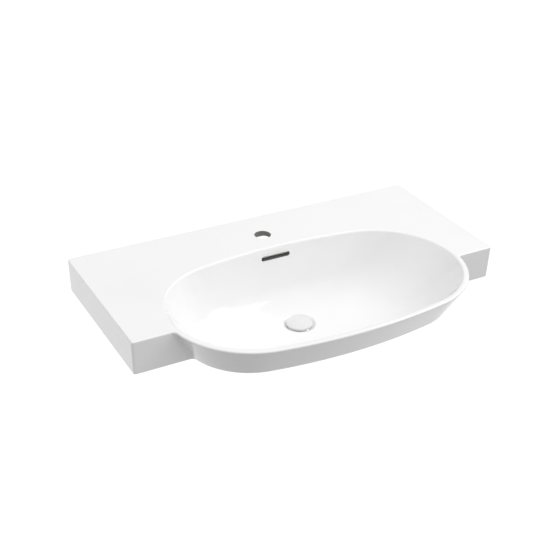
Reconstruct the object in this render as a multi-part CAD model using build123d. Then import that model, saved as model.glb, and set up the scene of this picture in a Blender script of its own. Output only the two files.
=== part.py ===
from build123d import *
import os
from math import atan2, cos, degrees, radians, sin, sqrt, tan

# A vanity washbasin cast in one piece of vitreous china, with its push-button waste.
# Lengths are in millimetres. +X runs along the wall, -Y points away from it and +Z is up.
# The origin lies on the wall plane, midway between the two wall fixing holes.
# A "drop" is a depth below the top of the slab.

# How far solids reach into one another where they are joined or cut
OVERLAP = 1.5

# Slab against the wall
SLAB_WIDTH = 800.0
SLAB_DEPTH = 342.0
SLAB_HEIGHT = 70.0
SLAB_CORNER_R = 9.0
SLAB_END_DRAFT = 1.5
SLAB_FRONT_DRAFT = 0.7
DECK_THICKNESS = 12.0
SKIRT_THICKNESS = 13.0
POCKET_CORNER_R = 12.0
TOP_EDGE_R = 3.0
BOTTOM_EDGE_R = 1.5
JUNCTION_R = 9.0

# Oval apron around the bowl: outline at the rim, and how far it draws in to its bottom edge
RIM_CENTRE_Y = -314.0
RIM_HALF_LENGTH = 321.0
RIM_HALF_DEPTH = 184.0
APRON_END_DRAW = 38.0
APRON_FRONT_DRAW = 41.5
OVAL_JOINT_DEG = 80.0

# Bowl: lip around its mouth, slope of its walls and fall of its floor towards the drain
FRONT_LIP = 13.0
END_LIP = 12.0
MOUTH_REAR_Y = -138.0
MOUTH_EDGE_R = 5.0
BOWL_DEPTH = 127.5
FRONT_DRAFT = 30.7
REAR_DRAFT = 4.0
END_DRAFT = 27.6
FRONT_FALL = 5.0
REAR_FALL = 12.0
END_FALL = 4.0
BOWL_FULLNESS = 1.8
BOWL_WALL = 10.0
BOWL_SECTIONS = 9

# Drain
DRAIN_Y = -244.5
DISH_R = 36.0
DISH_DEPTH = 4.5
DISH_FLOOR_R = 28.0
OUTLET_R = 22.5
OUTLET_CHAMFER = 2.5
BOSS_R = 38.0

# Overflow: slot in the rear wall and the channel behind it
SLOT_DROP = 24.0
SLOT_LENGTH = 66.0
SLOT_HEIGHT = 8.0
CHANNEL_COVER = 12.0
CHANNEL_GAP = 9.0
CHANNEL_WALL = 8.0
CHANNEL_TOP_DROP = 16.0
CHANNEL_TOP_WIDTH = 72.0
CHANNEL_FOOT_WIDTH = 36.0
CHANNEL_NECK_DROP = 50.0
CHANNEL_POINTS = 9

# Tap hole, wall fixing holes, notch for the supply pipes, ribs under the deck
TAP_HOLE_R = 17.5
TAP_HOLE_Y = -81.0
FIXING_DROP = 45.0
FIXING_SPACING = 280.0
FIXING_R = 14.0
FIXING_BOSS_R = 23.0
FIXING_BOSS_DEPTH = 6.0
NOTCH_WIDTH = 190.0
NOTCH_HEIGHT = 26.0
NOTCH_R = 10.0
RIB_THICKNESS = 12.0
RIB_HEIGHT = 40.0
BACK_RIB_X = 215.0
END_RIB_Y = -185.0
TAP_HOLE_EDGE_R = 1.0

# Waste: flanged tube through the outlet, clamped from below
THROAT_R = 18.5
WASTE_R = 20.95
WASTE_LENGTH = 56.0
FLANGE_R = 26.0
FLANGE_THICKNESS = 3.0
FLANGE_CHAMFER = 1.0
FLANGE_PLAY = 0.3
GASKET_THICKNESS = 2.0
THREAD_PLAY = 0.1
SEAL_R = 31.0
SEAL_THICKNESS = 5.0
SLIP_R = 29.0
SLIP_THICKNESS = 2.0
NUT_FLATS = 50.0
NUT_HEIGHT = 8.0
WINDOW_WIDTH = 10.0
WINDOW_HEIGHT = 8.0
WINDOW_ABOVE_CHANNEL = 0.5

# Spider inside the waste tube, which carries the cartridge
SPIDER_DEPTH = 25.0
SPIDER_HEIGHT = 7.0
SPIDER_RING = 3.0
ARM_WIDTH = 3.0

# Cap: ceramic cover, carrier and seal, moving up and down on the stem
CAP_R = 27.0
CAP_CLEARANCE = 0.5
CAP_EDGE = 4.5
CAP_CROWN = 1.5
CAP_BEVEL = 1.2
CAP_TRAVEL = 9.0
CAP_OVERPRESS = 1.5
CARRIER_R = 20.0
CARRIER_THICKNESS = 2.5
PLUG_R = 16.5
PLUG_HEIGHT = 3.0
GLUE_GAP = 0.3
SEAL_RING_THICKNESS = 3.0
SEAL_RING_PLAY = 0.1
WASHER_R = 13.0
WASHER_THICKNESS = 1.5
STEM_R = 3.0
STEM_SOCKET = 4.0
STEM_PLAY = 0.05
LOCKNUT_FLATS = 10.0
LOCKNUT_HEIGHT = 4.0

# Cartridge of the click mechanism
CARTRIDGE_R = 11.0
CARTRIDGE_BORE_R = 8.2
COLLAR_R = 13.5
COLLAR_HEIGHT = 3.5
COLLAR_BELOW_TOP = 1.5
TUBE_LENGTH = 30.0
SPRING_BORE_R = 7.0
BUSH_FLANGE = 1.5
BUSH_DEPTH = 3.8
FIT_PLAY = 0.05
PLUNGER_R = 5.1
PLUNGER_ABOVE_BUSH = 5.0
PLUNGER_FOOT_R = 6.7
PLUNGER_FOOT_HEIGHT = 2.0
PLUNGER_FOOT_GAP = 0.5
STEM_IN_PLUNGER = 6.0
CAM_RING_HEIGHT = 5.0
CAM_PIN_R = 1.0
CAM_PIN_REACH = 0.9
TRACK_DEPTH = 1.1
TRACK_WIDTH = 2.5
TRACK_PITCH_R = 4.65
TRACK_TEETH = 4
TRACK_OVERRUN = 1.2
END_CAP_THICKNESS = 2.5
END_CAP_SPIGOT = 2.0
END_CAP_HOLE_R = 2.0
CAM_BORE_R = 5.3
SPRING_R = 5.5
SPRING_WIRE = 0.9
SPRING_TURNS = 4
SPRING_STEPS = 12

TOP_Z = FIXING_DROP
DRAIN_AXIS = Pos(0, DRAIN_Y, 0)
MOUTH_FRONT_Y = RIM_CENTRE_Y - RIM_HALF_DEPTH + FRONT_LIP
MOUTH_HALF_LENGTH = RIM_HALF_LENGTH - END_LIP


def level(drop):
    """Height above the origin of a level given as its drop below the slab's top."""
    return TOP_Z - drop


# Levels of the drain stack, from the dish downwards
DISH_DROP = BOWL_DEPTH + DISH_DEPTH
FLANGE_DROP = DISH_DROP
SEAT_DROP = FLANGE_DROP + FLANGE_THICKNESS + GASKET_THICKNESS
BOSS_DROP = BOWL_DEPTH + CHANNEL_COVER + CHANNEL_GAP + CHANNEL_WALL
SLIP_DROP = BOSS_DROP + SEAL_THICKNESS
NUT_DROP = SLIP_DROP + SLIP_THICKNESS
WASTE_END_DROP = FLANGE_DROP + WASTE_LENGTH
WINDOW_DROP = BOWL_DEPTH + CHANNEL_COVER + WINDOW_ABOVE_CHANNEL
SPIDER_DROP = FLANGE_DROP + SPIDER_DEPTH

# Levels of the cap, closed
CAP_FOOT_DROP = FLANGE_DROP - CAP_OVERPRESS - CAP_CLEARANCE
CAP_EDGE_DROP = CAP_FOOT_DROP - CAP_EDGE
PLUG_DROP = CAP_FOOT_DROP + PLUG_HEIGHT
RING_DROP = PLUG_DROP + SEAL_RING_THICKNESS
WASHER_DROP = RING_DROP + WASHER_THICKNESS
LOCKNUT_DROP = WASHER_DROP + LOCKNUT_HEIGHT

# Levels of the cartridge
TUBE_DROP = SPIDER_DROP - COLLAR_HEIGHT - COLLAR_BELOW_TOP
TUBE_END_DROP = TUBE_DROP + TUBE_LENGTH
STEP_DROP = TUBE_DROP + BUSH_DEPTH + FIT_PLAY + CAM_RING_HEIGHT
CAM_DROP = STEP_DROP - CAM_RING_HEIGHT
PIN_DROP = CAM_DROP + CAM_RING_HEIGHT / 2
PLUNGER_DROP = TUBE_DROP - BUSH_FLANGE - PLUNGER_ABOVE_BUSH
STEM_END_DROP = PLUNGER_DROP + STEM_IN_PLUNGER
FOOT_DROP = STEP_DROP + CAP_TRAVEL + PLUNGER_FOOT_GAP
PLUNGER_END_DROP = FOOT_DROP + PLUNGER_FOOT_HEIGHT
SPRING_END_DROP = TUBE_END_DROP - END_CAP_SPIGOT

# The plunger's whole travel takes the cam ring through half a tooth of the track
TRACK_TRAVEL = CAP_TRAVEL + CAP_OVERPRESS
TRACK_TURN_DEG = 180.0 / TRACK_TEETH
TRACK_DEG_PER_MM = TRACK_TURN_DEG / TRACK_TRAVEL
PIN_START_DEG = CAP_OVERPRESS * TRACK_DEG_PER_MM


def oval_radii(half_length, half_depth):
    """End and side radii of a four-arc oval whose arcs meet at the joint angle."""
    c, s = cos(radians(OVAL_JOINT_DEG)), sin(radians(OVAL_JOINT_DEG))
    spread = (half_length - half_depth) / (c + s - 1)
    return half_length - spread * c, half_depth + spread * s


def oval_wire(half_length, half_depth, centre_y, drop):
    """Closed outline of four tangent arcs: right end, rear side, left end, front side."""
    end_r, side_r = oval_radii(half_length, half_depth)
    joint = OVAL_JOINT_DEG
    side_span = 180 - 2 * joint
    arcs = [
        CenterArc((half_length - end_r, centre_y), end_r, -joint, 2 * joint),
        CenterArc((0, centre_y + half_depth - side_r), side_r, joint, side_span),
        CenterArc((end_r - half_length, centre_y), end_r, 180 - joint, 2 * joint),
        CenterArc((0, centre_y - half_depth + side_r), side_r, 180 + joint, side_span),
    ]
    return Pos(0, 0, level(drop)) * Wire(arcs)


def body_outline(drop):
    """Outline of slab and apron together at one drop, with round corners and junctions."""
    share = drop / SLAB_HEIGHT
    half_width = SLAB_WIDTH / 2 - drop * tan(radians(SLAB_END_DRAFT))
    front_y = drop * tan(radians(SLAB_FRONT_DRAFT)) - SLAB_DEPTH
    half_length = RIM_HALF_LENGTH - share * APRON_END_DRAW
    half_depth = RIM_HALF_DEPTH - share * APRON_FRONT_DRAW
    end_r, side_r = oval_radii(half_length, half_depth)
    end_x = half_length - end_r
    side_y = RIM_CENTRE_Y - half_depth + side_r

    # The junction arc touches the slab's front face and, from outside, the oval's end arc
    junction_y = front_y - JUNCTION_R
    rise = junction_y - RIM_CENTRE_Y
    run = sqrt((end_r + JUNCTION_R) ** 2 - rise**2)
    touch = degrees(atan2(rise, run))
    junction_x = end_x + run

    r = SLAB_CORNER_R
    right = [
        Line((0, 0), (half_width - r, 0)),
        CenterArc((half_width - r, -r), r, 90, -90),
        Line((half_width, -r), (half_width, front_y + r)),
        CenterArc((half_width - r, front_y + r), r, 0, -90),
        Line((half_width - r, front_y), (junction_x, front_y)),
        CenterArc((junction_x, junction_y), JUNCTION_R, 90, 90 + touch),
        CenterArc((end_x, RIM_CENTRE_Y), end_r, touch, -OVAL_JOINT_DEG - touch),
        CenterArc((0, side_y), side_r, -OVAL_JOINT_DEG, OVAL_JOINT_DEG - 90),
    ]
    left = [edge.mirror(Plane.YZ) for edge in reversed(right)]
    return Pos(0, 0, level(drop)) * Wire(right + left)


def bowl_reach(drop, mouth, foot, depth, draft, fall):
    """Horizontal distance from the drain axis to the bowl's wall at a drop.

    The wall's section is a conic from the mouth to the drain's dish. It leaves the mouth
    at the wall's draft and meets the dish at the floor's fall. Its fullness says how
    closely it follows the corner where these two lines would meet.
    """
    wall, floor = tan(radians(draft)), tan(radians(fall))
    corner = (mouth - (depth + foot * floor) * wall) / (1 - floor * wall)
    corner_drop = depth - (corner - foot) * floor
    k = 2 * BOWL_FULLNESS
    a = drop * (2 - k) + k * corner_drop - depth
    b = drop * (k - 2) - k * corner_drop
    t = (-b - sqrt(b * b - 4 * a * drop)) / (2 * a)
    weights = (1 - t) ** 2, k * t * (1 - t), t * t
    return (weights[0] * mouth + weights[1] * corner + weights[2] * foot) / sum(weights)


def rear_reach(drop, offset):
    """Distance from the drain axis back to the rear wall, thickened by an offset."""
    mouth = MOUTH_REAR_Y - DRAIN_Y + offset / cos(radians(REAR_DRAFT))
    return bowl_reach(drop, mouth, DISH_R, BOWL_DEPTH + offset, REAR_DRAFT, REAR_FALL)


def bowl_wire(drop, offset):
    """Section of the bowl at a drop, with its surface moved outwards by an offset."""
    depth = BOWL_DEPTH + offset
    front_mouth = DRAIN_Y - MOUTH_FRONT_Y + offset / cos(radians(FRONT_DRAFT))
    end_mouth = MOUTH_HALF_LENGTH + offset / cos(radians(END_DRAFT))
    front = bowl_reach(drop, front_mouth, DISH_R, depth, FRONT_DRAFT, FRONT_FALL)
    end = bowl_reach(drop, end_mouth, DISH_R, depth, END_DRAFT, END_FALL)
    rear = rear_reach(drop, offset)
    return oval_wire(end, (front + rear) / 2, DRAIN_Y + (rear - front) / 2, drop)


def bowl_solid(top_drop, offset):
    """Solid inside the bowl's surface, or inside its outer surface if there is an offset."""
    depth = BOWL_DEPTH + offset
    steps = range(BOWL_SECTIONS + 1)
    drops = [top_drop + (depth - top_drop) * sin(radians(90 * i / BOWL_SECTIONS)) for i in steps]
    return Solid.make_loft([bowl_wire(drop, offset) for drop in drops])


def turned(*outline):
    """Solid turned about the drain axis from (radius, drop) corners of its half section."""
    corners = [(radius, level(drop)) for radius, drop in outline]
    half_section = make_face(Polyline(*corners, close=True))
    return DRAIN_AXIS * revolve(Plane.XZ * half_section, Axis.Z)


def washer(inner_r, outer_r, top_drop, thickness):
    """Flat ring about the drain axis."""
    foot = top_drop + thickness
    return turned((inner_r, top_drop), (outer_r, top_drop), (outer_r, foot), (inner_r, foot))


def plate(width, length, top_drop, bottom_drop, x, y):
    """Upright block between two drops, centred on a place in plan."""
    middle = level((top_drop + bottom_drop) / 2)
    return Pos(x, y, middle) * Box(width, length, bottom_drop - top_drop)


def rear_curve(top_drop, offset):
    """Points down the rear wall's section at an offset, ending under the drain."""
    foot_drop = BOWL_DEPTH + offset
    angles = [90 * i / CHANNEL_POINTS for i in range(CHANNEL_POINTS + 1)]
    drops = [top_drop + (foot_drop - top_drop) * sin(radians(angle)) for angle in angles]
    return [(DRAIN_Y + rear_reach(drop, offset), level(drop)) for drop in drops]


def rear_duct(near, far, top_drop, extra_width):
    """Space between two offsets of the rear wall, narrowing towards the drain."""
    front, back = rear_curve(top_drop, near), rear_curve(top_drop, far)
    side_face = make_face(
        [
            Spline(*front),
            Line(front[-1], (DRAIN_Y, front[-1][1])),
            Line((DRAIN_Y, front[-1][1]), (DRAIN_Y, back[-1][1])),
            Line((DRAIN_Y, back[-1][1]), back[-1]),
            Spline(*back),
            Line(back[0], front[0]),
        ]
    )
    half_top = CHANNEL_TOP_WIDTH / 2 + extra_width
    half_foot = CHANNEL_FOOT_WIDTH / 2 + extra_width
    right_side = [
        (half_top, level(top_drop)),
        (half_top, level(CHANNEL_NECK_DROP)),
        (half_foot, level(BOWL_DEPTH)),
        (half_foot, level(BOWL_DEPTH + far)),
    ]
    left_side = [(-x, z) for x, z in reversed(right_side)]
    rear_face = make_face(Polyline(*right_side, *left_side, close=True))
    swept_side = extrude(Plane.YZ * side_face, half_top, both=True)
    return swept_side & extrude(Plane.XZ * rear_face, SLAB_DEPTH, both=True)


def slab_pocket():
    """Hollow under the deck, open below, inside the skirt that runs round the slab."""
    width = SLAB_WIDTH - 2 * SKIRT_THICKNESS - 2 * SLAB_HEIGHT * tan(radians(SLAB_END_DRAFT))
    length = SLAB_DEPTH - 2 * SKIRT_THICKNESS
    plan = RectangleRounded(width, length, POCKET_CORNER_R)
    place = Pos(0, -SKIRT_THICKNESS - length / 2, level(2 * SLAB_HEIGHT))
    return place * extrude(plan, 2 * SLAB_HEIGHT - DECK_THICKNESS)


def underside_ribs():
    """Ribs from the back and end skirts to the bowl, before the bowl is hollowed out."""
    foot = DECK_THICKNESS + RIB_HEIGHT
    span = SLAB_WIDTH - 2 * SKIRT_THICKNESS
    ribs = [plate(span, RIB_THICKNESS, 0, foot, 0, END_RIB_Y)]
    for x in (-BACK_RIB_X, BACK_RIB_X):
        ribs.append(plate(RIB_THICKNESS, -DRAIN_Y - OVERLAP, 0, foot, x, (DRAIN_Y - OVERLAP) / 2))
    return ribs


def along_wall_axis(radius, depth, x):
    """Cylinder from the wall plane forwards, on the line of the wall fixing holes."""
    return Pos(x, -depth / 2, level(FIXING_DROP)) * Rot(90, 0, 0) * Cylinder(radius, depth)


def round_deck_opening(body, radius):
    """Round the upper edge of the smallest opening in the deck."""
    deck = body.faces().sort_by(Axis.Z)[-1]
    opening = deck.inner_wires().sort_by(SortBy.LENGTH)[0]
    return body.fillet(radius, opening.edges())


def basin_body():
    """The china body: slab, apron and bowl, with the overflow channel in its rear wall."""
    body = Solid.make_loft([body_outline(0), body_outline(SLAB_HEIGHT)], ruled=True)
    body = fillet(body.edges().group_by(Axis.Z)[-1], TOP_EDGE_R)
    body = fillet(body.edges().group_by(Axis.Z)[0], BOTTOM_EDGE_R)
    body -= slab_pocket()

    # Everything that stands out on the hidden side
    body += bowl_solid(DECK_THICKNESS - OVERLAP, BOWL_WALL)
    bulge_depth = CHANNEL_COVER + CHANNEL_GAP + CHANNEL_WALL
    body += rear_duct(BOWL_WALL / 2, bulge_depth, CHANNEL_TOP_DROP - CHANNEL_WALL, CHANNEL_WALL)
    body += washer(0, BOSS_R, BOWL_DEPTH, BOSS_DROP - BOWL_DEPTH)
    body += underside_ribs()
    fixing_x = (-FIXING_SPACING / 2, FIXING_SPACING / 2)
    boss_depth = SKIRT_THICKNESS + FIXING_BOSS_DEPTH
    body += [along_wall_axis(FIXING_BOSS_R, boss_depth, x) for x in fixing_x]

    body -= bowl_solid(-OVERLAP, 0)
    body = round_deck_opening(body, MOUTH_EDGE_R)

    # Drain dish, seat of the flange and hole for the waste
    recess_r = FLANGE_R + FLANGE_PLAY
    body -= turned(
        (0, BOWL_DEPTH - OVERLAP),
        (DISH_R, BOWL_DEPTH - OVERLAP),
        (DISH_R, BOWL_DEPTH),
        (DISH_FLOOR_R, DISH_DROP),
        (recess_r, DISH_DROP),
        (recess_r, SEAT_DROP),
        (OUTLET_R, SEAT_DROP),
        (OUTLET_R, BOSS_DROP - OUTLET_CHAMFER),
        (OUTLET_R + OUTLET_CHAMFER, BOSS_DROP),
        (0, BOSS_DROP),
    )

    # Overflow channel from the slot down to the waste
    body -= rear_duct(CHANNEL_COVER, CHANNEL_COVER + CHANNEL_GAP, CHANNEL_TOP_DROP, 0)
    slot_reach = CHANNEL_COVER + CHANNEL_GAP / 2
    slot = extrude(Plane.XZ * SlotOverall(SLOT_LENGTH, SLOT_HEIGHT), slot_reach, both=True)
    body -= Pos(0, MOUTH_REAR_Y, level(SLOT_DROP)) * slot

    # Tap hole, wall fixing holes and the notch for the supply pipes
    tap_hole = Cylinder(TAP_HOLE_R, 2 * DECK_THICKNESS)
    body -= Pos(0, TAP_HOLE_Y, level(DECK_THICKNESS)) * tap_hole
    body = round_deck_opening(body, TAP_HOLE_EDGE_R)
    body -= [along_wall_axis(FIXING_R, boss_depth, x) for x in fixing_x]
    notch = Plane.XZ * RectangleRounded(NOTCH_WIDTH, 2 * NOTCH_HEIGHT, NOTCH_R)
    body -= Pos(0, 0, level(SLAB_HEIGHT)) * extrude(notch, SKIRT_THICKNESS)
    return body


def nut(flats, bore_r, top_drop, height):
    """Hexagon nut whose corners are bevelled on its lower face."""
    corner_r = flats / 2 / cos(radians(30))
    bevel_height = (corner_r - flats / 2) / 2
    foot = top_drop + height
    blank = turned(
        (bore_r, top_drop),
        (corner_r + OVERLAP, top_drop),
        (corner_r + OVERLAP, foot - bevel_height - OVERLAP / 2),
        (flats / 2, foot),
        (bore_r, foot),
    )
    hexagon = RegularPolygon(flats / 2, 6, major_radius=False)
    return blank & (DRAIN_AXIS * Pos(0, 0, level(foot)) * extrude(hexagon, height))


def crossed_plates(width, length, top_drop, height, turn):
    """Two upright blocks that cross on the drain axis."""
    block = plate(width, length, top_drop, top_drop + height, 0, 0)
    return [DRAIN_AXIS * Rot(0, 0, turn + quarter) * block for quarter in (0, 90)]


def waste_body():
    """Flanged outlet tube with overflow windows and a spider for the cartridge."""
    flange_foot = FLANGE_DROP + FLANGE_THICKNESS
    tube = turned(
        (THROAT_R, FLANGE_DROP),
        (FLANGE_R - FLANGE_CHAMFER, FLANGE_DROP),
        (FLANGE_R, FLANGE_DROP + FLANGE_CHAMFER),
        (FLANGE_R, flange_foot),
        (WASTE_R, flange_foot),
        (WASTE_R, WASTE_END_DROP),
        (THROAT_R, WASTE_END_DROP),
    )
    tube -= crossed_plates(WINDOW_WIDTH, 3 * WASTE_R, WINDOW_DROP, WINDOW_HEIGHT, 0)
    ring_bore = CARTRIDGE_R + FIT_PLAY
    arms = crossed_plates(ARM_WIDTH, THROAT_R + WASTE_R, SPIDER_DROP, SPIDER_HEIGHT, 45)
    spider = washer(0, ring_bore + SPIDER_RING, SPIDER_DROP, SPIDER_HEIGHT) + arms
    spider -= washer(0, ring_bore, SPIDER_DROP, SPIDER_HEIGHT)
    return tube + spider


def flange_gasket():
    """Flat seal between the flange and the china."""
    return washer(WASTE_R + THREAD_PLAY, FLANGE_R, FLANGE_DROP + FLANGE_THICKNESS, GASKET_THICKNESS)


def cone_washer():
    """Rubber seal whose nose enters the chamfer under the outlet."""
    bore_r = WASTE_R + THREAD_PLAY
    nose_drop = BOSS_DROP - OUTLET_CHAMFER + THREAD_PLAY
    return turned(
        (bore_r, nose_drop),
        (OUTLET_R, nose_drop),
        (OUTLET_R + OUTLET_CHAMFER, BOSS_DROP),
        (SEAL_R, BOSS_DROP),
        (SEAL_R, SLIP_DROP),
        (bore_r, SLIP_DROP),
    )


def slip_washer():
    """Hard ring that lets the nut turn without dragging the rubber."""
    return washer(WASTE_R + THREAD_PLAY, SLIP_R, SLIP_DROP, SLIP_THICKNESS)


def backnut():
    """Nut that clamps the waste to the china."""
    return nut(NUT_FLATS, WASTE_R + THREAD_PLAY, NUT_DROP, NUT_HEIGHT)


def waste_cap():
    """Domed china cover of the plug, hollow below for its carrier."""
    crown = (0, level(CAP_EDGE_DROP - CAP_CROWN))
    shoulder = (CAP_R - CAP_BEVEL, level(CAP_EDGE_DROP))
    recess_r = CARRIER_R + GLUE_GAP
    recess_drop = CAP_FOOT_DROP - CARRIER_THICKNESS
    outline = [
        TangentArc(crown, shoulder, tangent=(1, 0)),
        Polyline(
            shoulder,
            (CAP_R, level(CAP_EDGE_DROP + CAP_BEVEL)),
            (CAP_R, level(CAP_FOOT_DROP)),
            (recess_r, level(CAP_FOOT_DROP)),
            (recess_r, level(recess_drop)),
            (0, level(recess_drop)),
            crown,
        ),
    ]
    return DRAIN_AXIS * revolve(Plane.XZ * make_face(outline), Axis.Z)


def cap_carrier():
    """Brass disc under the cap, with the plug that the stem screws into."""
    bore_r = STEM_R + STEM_PLAY
    top = CAP_FOOT_DROP - CARRIER_THICKNESS
    bore_top = PLUG_DROP - STEM_SOCKET
    return turned(
        (0, top),
        (CARRIER_R, top),
        (CARRIER_R, CAP_FOOT_DROP),
        (PLUG_R, CAP_FOOT_DROP),
        (PLUG_R, PLUG_DROP),
        (bore_r, PLUG_DROP),
        (bore_r, bore_top),
        (0, bore_top),
    )


def cap_seal():
    """Rubber ring that closes the throat of the waste."""
    ring_r = THROAT_R - SEAL_RING_PLAY
    return washer(STEM_R + STEM_PLAY, ring_r, PLUG_DROP, SEAL_RING_THICKNESS)


def seal_washer():
    """Metal washer that spreads the locknut's force over the seal."""
    return washer(STEM_R + STEM_PLAY, WASHER_R, RING_DROP, WASHER_THICKNESS)


def stem_locknut():
    """Nut that holds seal and washer against the plug."""
    return nut(LOCKNUT_FLATS, STEM_R + STEM_PLAY, WASHER_DROP, LOCKNUT_HEIGHT)


def cap_stem():
    """Threaded stem between the cap's carrier and the plunger."""
    top = PLUG_DROP - STEM_SOCKET
    return washer(0, STEM_R, top, STEM_END_DROP - top)


def track_leg(middle_deg, sense):
    """Straight slanting leg of the plunger's track, cut square to the leg's middle."""
    half_turn = TRACK_TURN_DEG / 2
    half_run = TRACK_PITCH_R * sin(radians(half_turn))
    slant = degrees(atan2(half_run, TRACK_TRAVEL / 2))
    length = TRACK_TRAVEL / cos(radians(slant)) + 2 * TRACK_OVERRUN
    floor = (PLUNGER_R - TRACK_DEPTH) * cos(radians(half_turn))
    depth = PLUNGER_R + OVERLAP - floor
    block = Box(depth, TRACK_WIDTH, length)
    middle = level(PIN_DROP + (CAP_TRAVEL - CAP_OVERPRESS) / 2)
    tilt = Rot(sense * slant, 0, 0)
    return Rot(0, 0, middle_deg) * Pos(floor + depth / 2, 0, middle) * tilt * block


def plunger():
    """Core of the click mechanism, with a zigzag track for the pins of the cam ring."""
    bore_r = STEM_R + STEM_PLAY
    core = turned(
        (bore_r, PLUNGER_DROP),
        (PLUNGER_R, PLUNGER_DROP),
        (PLUNGER_R, FOOT_DROP),
        (PLUNGER_FOOT_R, FOOT_DROP),
        (PLUNGER_FOOT_R, PLUNGER_END_DROP),
        (0, PLUNGER_END_DROP),
        (0, STEM_END_DROP),
        (bore_r, STEM_END_DROP),
    )
    for leg in range(2 * TRACK_TEETH):
        middle_deg = (leg + 0.5) * TRACK_TURN_DEG
        core -= DRAIN_AXIS * track_leg(middle_deg, 1 if leg % 2 == 0 else -1)
    return core


def cam_ring():
    """Ring that turns as its two pins follow the plunger's track."""
    ring_r = CARTRIDGE_BORE_R - FIT_PLAY
    tip_r = PLUNGER_R - CAM_PIN_REACH
    root_r = (CAM_BORE_R + ring_r) / 2
    pin = Rot(0, 90, 0) * Cylinder(CAM_PIN_R, root_r - tip_r)
    pin = Pos((tip_r + root_r) / 2, 0, level(PIN_DROP)) * pin
    turns = (PIN_START_DEG, PIN_START_DEG + 180)
    ring = washer(CAM_BORE_R, ring_r, CAM_DROP, CAM_RING_HEIGHT)
    return ring + [DRAIN_AXIS * Rot(0, 0, turn) * pin for turn in turns]


def guide_bush():
    """Bush that guides the plunger and closes the housing above the cam ring."""
    bore_r = PLUNGER_R + FIT_PLAY
    spigot_r = CARTRIDGE_BORE_R - FIT_PLAY
    return turned(
        (bore_r, TUBE_DROP - BUSH_FLANGE),
        (CARTRIDGE_R, TUBE_DROP - BUSH_FLANGE),
        (CARTRIDGE_R, TUBE_DROP),
        (spigot_r, TUBE_DROP),
        (spigot_r, TUBE_DROP + BUSH_DEPTH),
        (bore_r, TUBE_DROP + BUSH_DEPTH),
    )


def cartridge_body():
    """Housing of the click mechanism, hung by its collar on the spider."""
    collar_drop = SPIDER_DROP - COLLAR_HEIGHT
    return turned(
        (CARTRIDGE_BORE_R, TUBE_DROP),
        (CARTRIDGE_R, TUBE_DROP),
        (CARTRIDGE_R, collar_drop),
        (COLLAR_R, collar_drop),
        (COLLAR_R, SPIDER_DROP),
        (CARTRIDGE_R, SPIDER_DROP),
        (CARTRIDGE_R, TUBE_END_DROP),
        (SPRING_BORE_R, TUBE_END_DROP),
        (SPRING_BORE_R, STEP_DROP),
        (CARTRIDGE_BORE_R, STEP_DROP),
    )


def cartridge_cap():
    """End cap that carries the spring, with a hole that lets water out."""
    spigot_r = SPRING_BORE_R - 2 * FIT_PLAY
    end = TUBE_END_DROP + END_CAP_THICKNESS
    return turned(
        (END_CAP_HOLE_R, SPRING_END_DROP),
        (spigot_r, SPRING_END_DROP),
        (spigot_r, TUBE_END_DROP),
        (CARTRIDGE_R, TUBE_END_DROP),
        (CARTRIDGE_R, end),
        (END_CAP_HOLE_R, end),
    )


def return_spring():
    """Compression spring that lifts the plunger, coiled from flat wire in short steps."""
    climb = SPRING_END_DROP - PLUNGER_END_DROP - SPRING_WIRE
    first = level(SPRING_END_DROP - SPRING_WIRE / 2)
    steps = SPRING_TURNS * SPRING_STEPS
    wire = Pos(SPRING_R, 0) * Plane.XZ * Rectangle(SPRING_WIRE, SPRING_WIRE)
    sections = [
        Pos(0, 0, first + climb * step / steps) * Rot(0, 0, 360 * step / SPRING_STEPS) * wire
        for step in range(steps + 1)
    ]
    return DRAIN_AXIS * loft(sections, ruled=True)


NODES = [
    basin_body,
    waste_body,
    flange_gasket,
    cone_washer,
    slip_washer,
    backnut,
    waste_cap,
    cap_carrier,
    cap_seal,
    seal_washer,
    stem_locknut,
    cap_stem,
    plunger,
    cam_ring,
    guide_bush,
    return_spring,
    cartridge_body,
    cartridge_cap,
]

os.makedirs("parts", exist_ok=True)
for make_node in NODES:
    export_step(make_node(), f"parts/{make_node.__name__}.step")
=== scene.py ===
from math import cos, radians, sin, sqrt, tan

import bmesh
import bpy
import numpy as np
from mathutils import Matrix, Vector
from mathutils.bvhtree import BVHTree
from mathutils.geometry import tessellate_polygon


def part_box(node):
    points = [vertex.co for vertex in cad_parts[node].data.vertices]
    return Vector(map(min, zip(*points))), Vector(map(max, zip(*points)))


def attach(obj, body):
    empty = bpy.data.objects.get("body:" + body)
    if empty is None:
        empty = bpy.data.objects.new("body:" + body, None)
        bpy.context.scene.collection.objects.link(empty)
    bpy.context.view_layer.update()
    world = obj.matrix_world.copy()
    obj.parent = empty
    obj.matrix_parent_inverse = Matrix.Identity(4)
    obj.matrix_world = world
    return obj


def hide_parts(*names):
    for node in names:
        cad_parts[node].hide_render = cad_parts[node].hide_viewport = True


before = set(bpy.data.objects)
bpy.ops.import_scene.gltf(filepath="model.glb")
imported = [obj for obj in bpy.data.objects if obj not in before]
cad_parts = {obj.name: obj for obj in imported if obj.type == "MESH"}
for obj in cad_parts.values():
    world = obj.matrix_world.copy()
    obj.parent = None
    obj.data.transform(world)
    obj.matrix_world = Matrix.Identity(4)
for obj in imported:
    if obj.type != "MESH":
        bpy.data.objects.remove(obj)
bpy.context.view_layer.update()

# Lengths are in millimetres until a mesh, lamp or camera is made.
# A drop is a depth below the slab's top, and a plan angle is turned from +X towards +Y.
MM = 0.001
BODY_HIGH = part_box("basin_body")[1] / MM
CAP_LOW, CAP_HIGH = (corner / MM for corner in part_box("waste_cap"))
TOP_Z = BODY_HIGH.z
DRAIN_Y = (CAP_LOW.y + CAP_HIGH.y) / 2

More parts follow.
